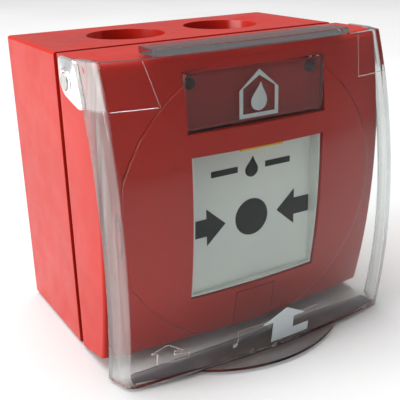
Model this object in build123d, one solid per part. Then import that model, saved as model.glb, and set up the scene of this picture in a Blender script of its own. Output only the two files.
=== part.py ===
from build123d import *
import math
import os

# Manual call point for surface wiring: a deep back box, a bowed front housing
# with a press element, and a clear hinged cover.
# Millimetres. Origin at the centre of the wall face; the front looks along -Y,
# +X is the viewer's right and +Z is up.

# back box
box_w = 92.0
box_h = 86.0
box_d = 39.2
box_wall = 2.4
box_edge_r = 0.8
entry_r = 11.65
entry_x = 16.5
entry_y = -20.5
entry_depth = 11.0
entry_boss_r = 14.0
cable_hole_r = 8.0
screw_spacing = 60.3
slot_w = 4.5
slot_len = 9.0
pillar_r = 4.0
pillar_bore_r = 1.5
pillar_x = 38.6
pillar_z = 34.0

# front housing
gap = 2.4
front_y = -(box_d + gap)
front_w = 92.0
half_w = front_w / 2
top_z = box_h / 2
face_r = 198.0
face_side_y = -62.2
face_mid_y = -66.6
face_mid_z = 8.9
wall = 2.2
slope_front_y = -62.0
slope_front_z = -38.6
disc_r = 41.7
disc_z = 0.0
disc_step = 0.45
top_edge_r = 2.0
side_edge_r = 0.8
post_x = 34.0
post_z = 22.0
post_r = 3.0
post_bore_r = 1.25
pin_boss_r = 3.4
pin_boss_len = 1.0
pin_tip_x = 43.0
post_tip_y = -62.0

# windows in the front housing
element_w = 42.8
element_top = 16.8
element_bottom = -25.0
element_y = -61.6
lamp_w = 44.2
lamp_top = 38.5
lamp_bottom = 22.9
lamp_y = -65.0
play = 0.35
guide_w = 13.4
guide_top = -26.8
guide_fit = 0.15
guide_web_y = -60.0
bearing_y = -56.5
bearing_half_w = 6.0
bearing_low = -35.5
bearing_high = -30.5
sleeve_t = 1.4
pane_fit = 0.15
pane_skirt_t = 0.9
pane_face_t = 1.5
pane_back_y = -59.6
flange_t = 1.0
flange_w = 1.6
backing_y = -60.8
backing_t = 1.0
backing_half_w = 20.8
backing_margin = 1.3

# clear cover
cover_r = 165.0
cover_side_x = 44.3
cover_side_y = -72.6
cover_mid_y = -77.0
cover_apex_z = -11.0
cover_back_x = 46.9
cover_back_y = -64.6
cover_t = 1.8
cover_top = 45.2
cover_bottom = -42.6
cover_shelf_y = -57.2
cover_clear = 0.4
foot_half_w = 42.4
foot_back_y = -63.5
lug_top = 43.3
pocket_x = 30.5
lip_r = 41.0
lip_front_y = -80.5
lip_half_w = 24.0
hinge_y = -51.0
hinge_z = 37.5
lug_x = 46.35
lug_t = 1.15
lug_back_y = -46.2
lug_low_z = 31.0
pin_r = 1.5
pin_head_r = 2.2

# press mechanism
plate_t = 2.0
rim_t = 0.6
rim_inset = 0.3
mark_z = -5.35
dot_r = 5.45
arrow_tip_x = 8.8
arrow_tail_x = 20.3
arrow_neck_x = 14.9
arrow_tail_h = 2.55
arrow_head_h = 5.4
dash_x = 8.9
dash_z = 9.5
dash_w = 8.5
dash_h = 1.7
lift_arrow_x = 1.5
lift_arrow_z = -39.4
ink_t = 0.15
carrier_t = 3.6
carrier_half_w = 20.8
carrier_margin = 1.5
carrier_gap_half_w = 13.5
carrier_gap_low = -17.5
carrier_gap_high = 8.0
guide_tip_y = -45.5
nub_r = 1.5
nub_z = -20.0
spring_wire_r = 0.35
spring_turns = 4
chassis_y = -47.0
chassis_t = 3.0
chassis_front = chassis_y - chassis_t
chassis_half_w = 41.0
chassis_low = -36.5
chassis_high = 38.0
chassis_hole_r = 1.65
post_hole_r = 1.4
board_post_r = 2.6
lever_gap_half_w = 5.5
lever_gap_low = -23.5
lever_gap_high = 0.5
cam_gap_half_w = 7.5
cam_gap_top = -26.0
guide_r = 2.0
guide_x = 16.0
guide_z = (10.0, -19.0)
running = 0.05
lever_z = -2.0
lever_y = -51.8
lever_len = 19.0
lever_pin_r = 1.0
lever_pin_half = 7.4
lever_hub_r = 1.9
lever_hub_half = 5.2
blade_half_w = 3.0
blade_t = 1.2
plunger_z = -8.0
flag_x = 2.5
flag_w = 14.0
flag_y = -63.3
flag_tail_w = 6.0
flag_t = 0.9
flag_show = 1.8
cam_y = -52.0
cam_r = 3.2
cam_low = -40.5
cam_high = -27.6
cam_lobe_t = 2.2
cam_lobe_reach = 2.6
key_slot_w = 4.4
key_slot_t = 1.2
key_slot_depth = 4.0
switch_half_w = 3.2
switch_front_y = -49.0
switch_low = -15.0
switch_high = -2.2
plunger_half = 1.0
leg_z = (-13.6, -8.6, -3.6)
leg_half = 0.4
ear_inner_x = 5.6
ear_outer_x = 7.4
ear_front_y = -53.6
ear_half_h = 2.4
tail_rail_t = 1.5
tail_rail_y = -52.6
flag_back_y = -51.3

# circuit board
board_y = -42.2
board_t = 1.6
board_w = 64.0
board_top = 26.0
board_bottom = -30.0
board_screw_r = 1.25
terminal_w = 34.0
terminal_count = 6
terminal_low = -28.0
terminal_high = -17.0
terminal_depth = 9.5
clamp_half_w = 1.8
clamp_t = 0.6
terminal_screw_drop = 3.6
lamp_board_y = -58.4
lamp_board_t = 1.2
lamp_board_half_w = 21.5
lamp_board_low = 24.6
lamp_board_high = 38.8
lamp_post_x = 12.0
lamp_post_z = 31.0
lamp_post_r = 2.4
lamp_spigot_r = 1.2
led_r = 1.5
led_x = 19.3
led_z = 35.1
led_tip_y = -63.2


def block(x0, x1, y0, y1, z0, z1):
    """Box between two corners."""
    size = (x1 - x0, y1 - y0, z1 - z0)
    return Pos((x0 + x1) / 2, (y0 + y1) / 2, (z0 + z1) / 2) * Box(*size)


def rod(radius, x, z, y0, y1):
    """Cylinder along Y from y0 to y1."""
    middle = Pos(x, (y0 + y1) / 2, z) * Rot(90, 0, 0)
    return middle * Cylinder(radius, abs(y1 - y0))


def bar(radius, y, z, x0, x1):
    """Cylinder along X from x0 to x1."""
    middle = Pos((x0 + x1) / 2, y, z) * Rot(0, 90, 0)
    return middle * Cylinder(radius, abs(x1 - x0))


def group(parts):
    """Separate solids that share one node."""
    return Compound(children=list(parts))


def spun(outline, axis_y, axis_z, below, above):
    """Turn a plan outline, drawn at the height of the axis, about an axis along X."""
    axis = Axis((0, axis_y, axis_z), (1, 0, 0))
    face = Pos(0, 0, axis_z) * make_face(outline)
    start = math.degrees(math.asin((axis_z - below) / abs(axis_y - face.bounding_box().min.Y)))
    reach = math.degrees(math.asin((above - axis_z) / abs(axis_y - face.bounding_box().min.Y)))
    return revolve(face.rotate(axis, start), axis, -(start + reach))


def face_solid(offset):
    """Solid bounded in front by the housing's doubly bowed face, moved out by offset."""
    bow = face_side_y - face_mid_y
    bow_r = (half_w ** 2 + bow ** 2) / (2 * bow) + offset
    reach = 60.0
    mid_y = face_mid_y - offset
    side_y = mid_y + bow_r - math.sqrt(bow_r ** 2 - reach ** 2)
    front = ThreePointArc((-reach, side_y), (0, mid_y), (reach, side_y))
    rest = Polyline((reach, side_y), (reach, -20.0), (-reach, -20.0), (-reach, side_y))
    return spun(front + rest, face_side_y + face_r, face_mid_z, -60.0, 60.0)


def tapered_body(inset, back):
    """The housing's envelope behind its face: straight top, sloping underside."""
    low_back = -top_z + inset
    low_front = slope_front_z + inset
    slope = (low_front - low_back) / (slope_front_y - front_y)
    outline = Polyline(
        (back, top_z - inset),
        (-75.0, top_z - inset),
        (-75.0, low_back + slope * (-75.0 - front_y)),
        (back, low_back + slope * (back - front_y)),
        close=True,
    )
    profile = Plane.YZ * make_face(outline)
    return extrude(profile, half_w - inset, both=True)


def back_box():
    shell = block(-box_w / 2, box_w / 2, -box_d, 0, -top_z, top_z)
    shell = fillet(shell.edges().filter_by(Axis.Y), box_edge_r)
    inner_x = box_w / 2 - box_wall
    inner_z = top_z - box_wall
    shell -= block(-inner_x, inner_x, -box_d - 1, -box_wall, -inner_z, inner_z)
    for x, z in corners(pillar_x, pillar_z):
        shell += rod(pillar_r, x, z, -box_wall + 0.5, -box_d)
        shell -= rod(pillar_bore_r, x, z, -20.0, -box_d - 1)
    for x in (-entry_x, entry_x):
        shell = conduit_entry(shell, x)
        shell -= knockout_groove(x)
    slot = extrude(SlotOverall(slot_len, slot_w), 2 * box_wall, both=True)
    for x in (-screw_spacing / 2, screw_spacing / 2):
        shell -= Pos(x, 0, 0) * Rot(90, 0, 0) * slot
    return shell


def conduit_entry(shell, x):
    """Socket for a conduit in the top of the box, with a cable hole in its floor."""
    floor_z = top_z - entry_depth
    boss_low = floor_z - box_wall
    shell += Pos(x, entry_y, (boss_low + top_z - 1) / 2) * Cylinder(entry_boss_r, top_z - 1 - boss_low)
    shell -= Pos(x, entry_y, top_z) * Cylinder(entry_r, 2 * entry_depth)
    shell -= Pos(x, entry_y, floor_z) * Cylinder(cable_hole_r, 3 * box_wall)
    return shell


def knockout_groove(x):
    """Thin circle on the underside, where a further entry can be cut out."""
    depth = 0.6
    width = 1.2
    ring = Cylinder(entry_r, 2 * depth) - Cylinder(entry_r - width, 2 * depth)
    return Pos(x, entry_y, -top_z) * ring


def box_gasket():
    """Square ring between the box's rim and the front housing."""
    inset = 1.6
    thick = 1.5
    x = half_w - inset
    z = top_z - inset
    outer = block(-x, x, front_y, -box_d, -z, z)
    return outer - block(-x + thick, x - thick, front_y - 1, -box_d + 1, -z + thick, z - thick)


def front_shell(offset):
    """The front housing's bowed outer form, with its softened top and side edges."""
    form = tapered_body(0.0, front_y) & face_solid(offset)
    top_edge = form.edges().filter_by(lambda e: e.center().Z > top_z - 0.1 and e.center().Y < -55)
    form = fillet(top_edge, top_edge_r)
    side_edges = form.edges().filter_by(
        lambda e: abs(e.center().X) > half_w - 0.2 and e.center().Y < -58 and e.length > 60
    )
    return fillet(side_edges, side_edge_r)


def front_housing():
    shell = front_shell(0.0)
    shell += front_shell(disc_step) & rod(disc_r, 0, disc_z, -80.0, -50.0)
    shell -= tapered_body(wall, front_y + 1) & face_solid(-wall)
    for x, z in corners(post_x, post_z):
        shell += rod(post_r, x, z, chassis_front, post_tip_y)
        shell -= rod(post_bore_r, x, z, chassis_front + 1, chassis_front - 8)
    half = element_w / 2
    shell += element_sleeve()
    shell -= block(-half, half, -80, -50, element_bottom, element_top)
    shell -= block(-lamp_w / 2, lamp_w / 2, -80, -50, lamp_bottom, lamp_top)
    shell -= block(-guide_w / 2, guide_w / 2, -80, -54, -50, guide_top)
    shell -= Pos(0, cam_y, -40) * Cylinder(cam_r + play, 8)
    inner_x = half_w - wall
    for side in (-1, 1):
        boss = bar(pin_boss_r, hinge_y, hinge_z, side * (inner_x - pin_boss_len), side * (inner_x + 0.5))
        shell += boss
        shell -= bar(pin_r, hinge_y, hinge_z, side * pin_tip_x, side * (half_w + 1))
    return shell


def element_sleeve():
    """Guide walls at the sides and foot of the element's opening."""
    t = sleeve_t
    half = element_w / 2 + t
    top = element_top - 0.4
    outer = block(-half, half, element_y - 2.9, element_y + 3.5, element_bottom - t, top)
    return outer - block(-half + t, half - t, -80, -50, element_bottom, top + 1)


def key_guide():
    """Filler below the element that carries the reset cam's bearing."""
    half = guide_w / 2 - guide_fit
    skin = front_shell(disc_step) & rod(disc_r - play, 0, disc_z, -80.0, -50.0)
    skin += front_shell(0.0)
    skin -= tapered_body(wall, front_y + 1) & face_solid(-wall)
    skin &= block(-half, half, -80, bearing_y, -50, guide_top - guide_fit)
    web = block(-1.5, 1.5, guide_web_y, bearing_y + 1, bearing_low, bearing_high)
    bearing = block(-bearing_half_w, bearing_half_w, bearing_y, cam_y + 4.5, bearing_low, bearing_high)
    hole = Pos(0, cam_y, -33) * Cylinder(cam_r + running, 10)
    return skin + web + bearing - hole


def reset_cam():
    """Keyed barrel under the bearing, with a lobe above it."""
    barrel = Pos(0, cam_y, (cam_low + cam_high) / 2) * Cylinder(cam_r, cam_high - cam_low)
    lobe = extrude(SlotCenterPoint((0, 0), (cam_lobe_reach, 0), 2 * cam_r), cam_lobe_t)
    barrel += Pos(0, cam_y, cam_high - cam_lobe_t) * lobe
    half_w = key_slot_w / 2
    half_t = key_slot_t / 2
    slot_top = cam_low + key_slot_depth
    return barrel - block(-half_w, half_w, cam_y - half_t, cam_y + half_t, cam_low - 1, slot_top)


def indicator_window():
    """Tinted pane with a skirt and side flanges that hold it behind the housing."""
    half = lamp_w / 2 - pane_fit
    low = lamp_bottom + pane_fit
    high = lamp_top - pane_fit
    skirt = pane_skirt_t
    back = pane_back_y
    pane = block(-half, half, lamp_y, back, low, high)
    flange = block(-half - flange_w, half + flange_w, back - flange_t, back, low, high)
    hollow = block(-half + skirt, half - skirt, lamp_y + pane_face_t, back + 1, low + skirt, high - skirt)
    return fillet(pane.edges().group_by(Axis.Y)[0], 0.25) + flange - hollow


def lamp_backing():
    """Plate behind the tinted pane, notched round the two lamps."""
    half = backing_half_w
    low = lamp_bottom + backing_margin
    high = lamp_top - backing_margin
    plate = block(-half, half, backing_y, backing_y + backing_t, low, high)
    for x in (-led_x, led_x):
        plate -= rod(led_r + 0.2, x, led_z, -80, -50)
    return plate


def lamp_board():
    half = lamp_board_half_w
    back = lamp_board_y + lamp_board_t
    board = block(-half, half, lamp_board_y, back, lamp_board_low, lamp_board_high)
    for x in (-lamp_post_x, lamp_post_x):
        board -= rod(lamp_spigot_r + running, x, lamp_post_z, -60, -50)
    return board


def status_leds():
    lamps = []
    for x in (-led_x, led_x):
        stem = rod(led_r, x, led_z, led_tip_y + led_r, lamp_board_y)
        dome = Pos(x, led_tip_y + led_r, led_z) * Sphere(led_r)
        rim = rod(led_r + 0.35, x, led_z, lamp_board_y - 0.9, lamp_board_y)
        lamps.append(stem + dome + rim)
    return group(lamps)


def mechanism_chassis():
    """Plate behind the front that carries the guides, lever, lamps and circuit board."""
    plate = block(-chassis_half_w, chassis_half_w, chassis_front, chassis_y, chassis_low, chassis_high)
    for x, z in corners(pillar_x, pillar_z):
        plate += rod(pillar_r, x, z, chassis_front, -box_d)
    for x, z in board_posts():
        plate += rod(board_post_r, x, z, chassis_y - 0.5, board_y)
        plate -= rod(board_screw_r + running, x, z, board_y + 1, board_y - 4)
    for x in (-lamp_post_x, lamp_post_x):
        seat = lamp_board_y + lamp_board_t
        plate += rod(lamp_post_r, x, lamp_post_z, chassis_front + 0.5, seat)
        plate += rod(lamp_spigot_r, x, lamp_post_z, seat + 0.3, lamp_board_y)
    for x, z in corners(pillar_x, pillar_z):
        plate -= rod(chassis_hole_r, x, z, -60, -30)
    for x, z in corners(post_x, post_z):
        plate -= rod(post_hole_r, x, z, -60, -40)
    for x in (-guide_x, guide_x):
        for z in guide_z:
            plate -= rod(guide_r + running, x, z, -60, -40)
    plate -= block(-lever_gap_half_w, lever_gap_half_w, -60, -40, lever_gap_low, lever_gap_high)
    plate -= block(-cam_gap_half_w, cam_gap_half_w, -60, -40, -45, cam_gap_top)
    for side in (-1, 1):
        x0, x1 = sorted((side * ear_inner_x, side * ear_outer_x))
        low = lever_z - ear_half_h
        plate += block(x0, x1, ear_front_y, chassis_front + 0.5, low, low + 2 * ear_half_h)
    plate -= bar(lever_pin_r, lever_y, lever_z, -9, 9)
    half = flag_tail_w / 2 + 0.3
    for x in (flag_x - half - tail_rail_t, flag_x + half):
        plate += block(x, x + tail_rail_t, tail_rail_y, chassis_front + 0.5, 3.5, 21.0)
    return plate


def lever_pin():
    return bar(lever_pin_r, lever_y, lever_z, -lever_pin_half, lever_pin_half)


def switch_lever():
    """Hub on the pin with a blade that lies over the switch."""
    hub = bar(lever_hub_r, lever_y, lever_z, -lever_hub_half, lever_hub_half)
    half_t = blade_t / 2
    foot_z = lever_z - lever_len
    blade = block(-blade_half_w, blade_half_w, lever_y - half_t, lever_y + half_t, foot_z, lever_z)
    return hub + blade - bar(lever_pin_r + running, lever_y, lever_z, -9, 9)


def microswitch_body():
    half = switch_half_w
    body = block(-half, half, switch_front_y, board_y, switch_low, switch_high)
    body = fillet(body.edges().filter_by(Axis.Y), 0.4)
    low = plunger_z - plunger_half - 0.3
    high = plunger_z + plunger_half + 0.3
    return body - block(-1.5, 1.5, switch_front_y - 1, switch_front_y + 2.6, low, high)


def switch_plunger():
    front = switch_front_y - 1.8
    stem = block(-1.2, 1.2, front, front + 3.1, plunger_z - plunger_half, plunger_z + plunger_half)
    return fillet(stem.edges().filter_by(Axis.X).group_by(Axis.Y)[0], 0.4)


def microswitch_pins():
    """Three legs that run from the switch through the board."""
    legs = []
    for z in leg_z:
        legs.append(block(-0.5, 0.5, board_y, board_y + board_t + 2.0, z - leg_half, z + leg_half))
    return group(legs)


def circuit_board():
    board = block(-board_w / 2, board_w / 2, board_y, board_y + board_t, board_bottom, board_top)
    board = fillet(board.edges().filter_by(Axis.Y), 1.5)
    for x, z in board_posts():
        board -= rod(board_screw_r + 0.2, x, z, -60, -30)
    for z in leg_z:
        board -= block(-0.5, 0.5, -60, -30, z - leg_half, z + leg_half)
    return board


def board_components():
    """Chips, capacitors and resistors on the back of the board."""
    y = board_y + board_t
    parts = [
        block(-18, -8, y, y + 1.6, 6, 16),
        block(8, 14, y, y + 1.4, 8, 13),
        rod(3.0, 20, 10, y, y + 7.0),
        rod(2.2, -23, 3, y, y + 5.0),
    ]
    for x in (-20.0, -16.0, 12.0, 16.0, 20.0):
        parts.append(block(x - 0.8, x + 0.8, y, y + 0.8, -5.6, -2.4))
    return group(parts)


def terminal_block():
    """Row of screw clamps for the loop wiring, with wire mouths on its underside."""
    y = board_y + board_t
    depth = terminal_depth
    screw_z = terminal_high - terminal_screw_drop
    mouth = clamp_half_w + 0.1
    body = block(-terminal_w / 2, terminal_w / 2, y, y + depth, terminal_low, terminal_high)
    for x in terminal_places():
        body -= block(x - mouth, x + mouth, y + 2.0, y + 6.4, terminal_low - 1, terminal_low + 6.0)
        body -= rod(clamp_half_w + 0.2, x, screw_z, y + 6.0, y + depth + 1)
    return body


def terminal_clamps():
    """Metal cages in the mouths of the terminal block."""
    front = board_y + board_t + 2.1
    back = front + 4.2
    half = clamp_half_w
    inner = half - clamp_t
    cages = []
    for x in terminal_places():
        cage = block(x - half, x + half, front, back, terminal_low + 1.5, terminal_low + 5.8)
        mouth = block(x - inner, x + inner, front + clamp_t, back - clamp_t, terminal_low, terminal_low + 6.5)
        cages.append(cage - mouth)
    return group(cages)


def terminal_screws():
    base = board_y + board_t + 6.6
    top = base + 2.0
    z = terminal_high - terminal_screw_drop
    heads = []
    for x in terminal_places():
        head = rod(clamp_half_w, x, z, base, top)
        heads.append(head - block(x - 2, x + 2, top - 0.6, top + 0.4, z - 0.3, z + 0.3))
    return group(heads)


def element_plate():
    """Plate with a thin rim round its sides and foot that reaches almost to the housing's face."""
    half = element_w / 2 - play
    low = element_bottom + play
    high = element_top - play
    plate = block(-half, half, element_y, element_y + plate_t, low, high)
    rim = block(-half, half, face_mid_y, element_y + 0.5, low, high) & face_solid(-rim_inset)
    inner = half - rim_t
    return plate + rim - block(-inner, inner, face_mid_y - 1, element_y, low + rim_t, high + 1)


def arrow(side):
    """Arrow outline that points at the dot from one side."""
    tail_h = arrow_tail_h
    head_h = arrow_head_h
    neck = arrow_neck_x
    points = [
        (arrow_tail_x, tail_h), (neck, tail_h), (neck, head_h), (arrow_tip_x, 0),
        (neck, -head_h), (neck, -tail_h), (arrow_tail_x, -tail_h),
    ]
    return [(side * x, mark_z + z) for x, z in points]


def flame(width, height, x, z):
    """Leaf-shaped flame outline with its foot at x, z."""
    foot = (x, z)
    tip = (x + 0.12 * width, z + height)
    right = Spline(foot, (x + width / 2, z + 0.38 * height), tip, tangents=((1, 0.1), (-0.3, 1)))
    left = Spline(tip, (x - width / 2, z + 0.34 * height), foot, tangents=((-0.6, -1), (1, -0.1)))
    return right + left


def printed(outline_faces, y):
    """Thin printed marks standing on a surface that faces -Y."""
    marks = []
    for face in outline_faces:
        upright = Plane((0, y, 0), x_dir=(1, 0, 0), z_dir=(0, -1, 0)) * face
        marks.append(extrude(upright, ink_t, dir=(0, -1, 0)))
    return group(marks)


def element_print():
    """Two arrows and a dot, with a small flame between two bars above them."""
    faces = [make_face(Polyline(*arrow(side), close=True)) for side in (-1, 1)]
    faces.append(Pos(0, mark_z) * Circle(dot_r))
    faces += [Pos(side * dash_x, dash_z) * Rectangle(dash_w, dash_h) for side in (-1, 1)]
    faces.append(make_face(flame(4.2, 6.0, 0, 6.6)))
    return printed(faces, element_y)


def house(width, eaves, ridge, x, z):
    """Plain gabled house outline standing at height z."""
    half = width / 2
    return Polyline(
        (x - half, z), (x - half, z + eaves), (x, z + ridge),
        (x + half, z + eaves), (x + half, z), close=True,
    )


def pictogram():
    """Outlined house with a flame inside it, printed on the tinted pane."""
    line = 1.1
    base = lamp_bottom + 1.6
    outer = make_face(house(12.4, 7.4, 12.6, 0, base))
    inner = make_face(house(12.4 - 2 * line, 7.4 - 0.6 * line, 12.6 - 2.4 * line, 0, base + line))
    faces = [outer - inner, make_face(flame(5.0, 7.6, 0, base + line + 0.5))]
    return printed(faces, lamp_y)


def element_carrier():
    """Frame behind the element with four guide pins and a nub for the lever."""
    front = element_y + plate_t
    back = front + carrier_t
    half = carrier_half_w
    inner = carrier_gap_half_w
    frame = block(-half, half, front, back, element_bottom + carrier_margin, element_top - carrier_margin)
    frame -= block(-inner, inner, front - 1, back + 1, carrier_gap_low, carrier_gap_high)
    for x in (-guide_x, guide_x):
        for z in guide_z:
            frame += rod(guide_r, x, z, back - 0.5, guide_tip_y)
    return frame + rod(nub_r, 0, nub_z, back - 0.5, lever_y - blade_t / 2 - 0.35)


def return_springs():
    """Coil springs on the four guide pins, between the carrier and the chassis."""
    back = element_y + plate_t + carrier_t
    wire_r = spring_wire_r
    coil_r = guide_r + 0.85
    length = chassis_front - back - 2 * wire_r
    coils = []
    for x in (-guide_x, guide_x):
        for z in guide_z:
            path = Helix(pitch=length / spring_turns, height=length, radius=coil_r)
            wire = sweep(Plane(path @ 0, z_dir=path % 0) * Circle(wire_r), path, is_frenet=True)
            coils.append(Pos(x, back + wire_r, z) * Rot(-90, 0, 0) * wire)
    return group(coils)


def status_flag():
    """Yellow flag with an arm over the element and a tail that slides on the chassis."""
    low = element_top - flag_show
    arm_low = 21.2
    top = arm_low + 1.0
    half = flag_tail_w / 2
    sheet = block(flag_x - flag_w / 2, flag_x + flag_w / 2, flag_y, flag_y + flag_t, low, top)
    arm = block(flag_x - half, flag_x + half, flag_y, flag_back_y, arm_low, top)
    tail = block(flag_x - half, flag_x + half, flag_back_y - 1.2, flag_back_y, 7.0, top)
    return sheet + arm + tail


def chassis_screws():
    return screws(corners(pillar_x, pillar_z), 3.0, 1.45, chassis_front, -2.2, 25.0)


def housing_screws():
    return screws(corners(post_x, post_z), 2.6, post_bore_r - running, chassis_y, 1.8, -9.0)


def board_screws():
    return screws(board_posts(), 2.3, board_screw_r, board_y + board_t, 1.6, -4.6)


def screws(places, head_r, shank_r, seat_y, head, reach):
    """Slotted screws along Y: head height and reach are signed lengths from the seat."""
    made = []
    top = seat_y + head
    cut = head / 2
    for x, z in places:
        screw = rod(head_r, x, z, seat_y, top) + rod(shank_r, x, z, seat_y, seat_y + reach)
        low = min(top - cut, top + cut)
        made.append(screw - block(x - head_r, x + head_r, low, low + abs(head), z - 0.4, z + 0.4))
    return group(made)


def hinge_pins():
    """Headed pins that carry the cover's lugs."""
    pins = []
    outer = lug_x + lug_t + 0.1
    for side in (-1, 1):
        shaft = bar(pin_r, hinge_y, hinge_z, side * (pin_tip_x + 0.1), side * outer)
        head = bar(pin_head_r, hinge_y, hinge_z, side * outer, side * (outer + 0.6))
        pins.append(shaft + head)
    return group(pins)


def cover_solid(offset):
    """Filled form of the cover: bowed front, splayed sides, then straight back."""
    x = cover_side_x + offset
    y = cover_side_y - offset
    back_x = cover_back_x + offset
    front = ThreePointArc((-x, y), (0, cover_mid_y - offset), (x, y))
    rest = Polyline(
        (x, y), (back_x, cover_back_y), (back_x, -20.0),
        (-back_x, -20.0), (-back_x, cover_back_y), (-x, y),
    )
    return spun(front + rest, cover_side_y + cover_r, cover_apex_z, -60.0, 60.0)


def behind_side_walls():
    """Everything behind the curved back edges of the cover's side walls."""
    reach = 60.0
    outline = Polyline(
        (-reach, cover_back_y), (reach, cover_back_y), (reach, -20.0), (-reach, -20.0), close=True,
    )
    return spun(outline, cover_side_y + cover_r, cover_apex_z, -60.0, 60.0)


def clear_cover():
    """One-piece cover: bowed front, side walls, top and bottom shelves, lip and hinge lugs."""
    shelf_low = cover_top - cover_t
    shell = cover_solid(0.0) & block(-60, 60, -90, -20, cover_bottom, cover_top)
    shell -= cover_solid(-cover_t) & block(-60, 60, -90, -20, cover_bottom + cover_t, shelf_low)
    shell -= behind_side_walls() & block(-60, 60, -90, -10, -60, shelf_low)
    shell -= block(-60, 60, cover_shelf_y, -10, shelf_low - 1, cover_top + 1)
    shell -= block(-foot_half_w, foot_half_w, foot_back_y, -10, cover_bottom - 1, cover_bottom + cover_t + 1)
    shell -= housing_room()
    for side in (-1, 1):
        shell -= Pos(side * (pocket_x + 30), -60, lug_top + 10) * Box(60, 60, 20)
    lip = Pos(0, lip_front_y + lip_r, cover_bottom + 0.8) * Cylinder(lip_r, 1.6)
    shell += lip & block(-lip_half_w, lip_half_w, -90, -73.0, -50, 0)
    shell += cover_lugs()
    for side in (-1, 1):
        shell -= bar(pin_r + running, hinge_y, hinge_z, side * 45, side * 50)
    return shell


def housing_room():
    """The housing's envelope with its clearance, which the cover stays outside."""
    return tapered_body(-play, -30.0) & face_solid(cover_clear)


def cover_lugs():
    """Ears at the top corners that reach back over the housing's sides."""
    outline = Polyline(
        (lug_back_y, lug_top), (lug_back_y, hinge_z - 2.6), (lug_back_y - 2.2, hinge_z - 4.6),
        (-58.0, lug_low_z), (-66.0, lug_low_z - 4.5), (-66.0, lug_top), close=True,
    )
    ears = extrude(Plane.YZ * make_face(outline), 60.0, both=True)
    ears &= cover_solid(lug_x + lug_t - cover_back_x) - cover_solid(-cover_t)
    swing_room = block(-lug_x, lug_x, -61.9, -20, 0, 60)
    return ears - swing_room - housing_room()


def lift_arrow():
    """Arrow with a foot, printed low on the cover's front."""
    x = lift_arrow_x
    z = lift_arrow_z
    outline = Polyline(
        (x - 3.4, z), (x - 3.4, z + 6.8), (x - 7.2, z + 6.8), (x + 1.0, z + 10.6), (x + 8.0, z + 6.8),
        (x + 3.8, z + 6.8), (x + 3.8, z + 2.9), (x + 9.8, z + 2.9), (x + 9.8, z), close=True,
    )
    upright = Plane((0, -60, 0), x_dir=(1, 0, 0), z_dir=(0, -1, 0)) * make_face(outline)
    prism = extrude(upright, 40.0, dir=(0, -1, 0))
    return prism & (cover_solid(ink_t) - cover_solid(0.0))


def corners(x, z):
    return [(sx * x, sz * z) for sx in (-1, 1) for sz in (-1, 1)]


def board_posts():
    x = board_w / 2 - 4.0
    return [(sx * x, z) for sx in (-1, 1) for z in (board_bottom + 4.0, board_top - 4.0)]


def terminal_places():
    step = terminal_w / terminal_count
    return [(i - (terminal_count - 1) / 2) * step for i in range(terminal_count)]


def save(name, part):
    part.label = name
    export_step(part, os.path.join("parts", name + ".step"))


nodes = {
    "back_box": back_box,
    "box_gasket": box_gasket,
    "front_housing": front_housing,
    "key_guide": key_guide,
    "hinge_pins": hinge_pins,
    "indicator_window": indicator_window,
    "pictogram": pictogram,
    "lamp_backing": lamp_backing,
    "lamp_board": lamp_board,
    "status_leds": status_leds,
    "mechanism_chassis": mechanism_chassis,
    "chassis_screws": chassis_screws,
    "housing_screws": housing_screws,
    "lever_pin": lever_pin,
    "circuit_board": circuit_board,
    "board_screws": board_screws,
    "board_components": board_components,
    "microswitch_body": microswitch_body,
    "microswitch_pins": microswitch_pins,
    "terminal_block": terminal_block,
    "terminal_clamps": terminal_clamps,
    "terminal_screws": terminal_screws,
    "clear_cover": clear_cover,
    "lift_arrow": lift_arrow,
    "element_plate": element_plate,
    "element_print": element_print,
    "element_carrier": element_carrier,
    "return_springs": return_springs,
    "status_flag": status_flag,
    "switch_lever": switch_lever,
    "switch_plunger": switch_plunger,
    "reset_cam": reset_cam,
}

os.makedirs("parts", exist_ok=True)
for name, make in nodes.items():
    save(name, make())
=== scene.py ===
import math

import bmesh
import bpy
import numpy as np
from mathutils import Matrix


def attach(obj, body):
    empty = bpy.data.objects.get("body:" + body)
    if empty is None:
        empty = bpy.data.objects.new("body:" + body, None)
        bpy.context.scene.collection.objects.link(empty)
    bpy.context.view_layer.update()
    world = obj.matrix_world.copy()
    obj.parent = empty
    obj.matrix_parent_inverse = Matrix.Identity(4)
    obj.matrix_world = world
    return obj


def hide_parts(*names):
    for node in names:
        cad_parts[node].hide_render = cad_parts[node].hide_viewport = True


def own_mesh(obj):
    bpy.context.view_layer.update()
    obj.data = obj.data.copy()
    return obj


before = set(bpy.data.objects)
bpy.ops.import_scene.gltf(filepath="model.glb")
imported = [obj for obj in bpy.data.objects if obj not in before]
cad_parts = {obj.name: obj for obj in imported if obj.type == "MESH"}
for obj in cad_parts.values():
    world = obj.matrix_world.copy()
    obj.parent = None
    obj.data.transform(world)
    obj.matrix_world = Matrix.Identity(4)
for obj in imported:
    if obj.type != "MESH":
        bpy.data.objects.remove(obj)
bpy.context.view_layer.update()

mm = 0.001
print("frame loaded:", len(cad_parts), "nodes")


# the camera: in front, a little above the object and to its left

viewCamera = {
    "place": (-0.10875, -0.21848, 0.07181),
    "right": (0.857294, -0.514260, -0.024150),
    "up": (0.201205, 0.291501, 0.935170),
    "back": (-0.473881, -0.806575, 0.353365),
    "lens": 64.8,
}


def addCamera(spec):
    lensData = bpy.data.cameras.new("viewCamera")
    lensData.lens = spec["lens"]
    lensData.sensor_width = 36.0
    lensData.clip_start = 0.01
    lensData.clip_end = 20.0
    cam = bpy.data.objects.new("viewCamera", lensData)
    columns = np.array([spec["right"], spec["up"], spec["back"], spec["place"]]).T
    cam.matrix_world = Matrix([list(row) for row in columns] + [[0, 0, 0, 1]])
    bpy.context.scene.collection.objects.link(cam)
    bpy.context.scene.camera = cam


addCamera(viewCamera)


# materials: procedural patterns on object coordinates

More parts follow.
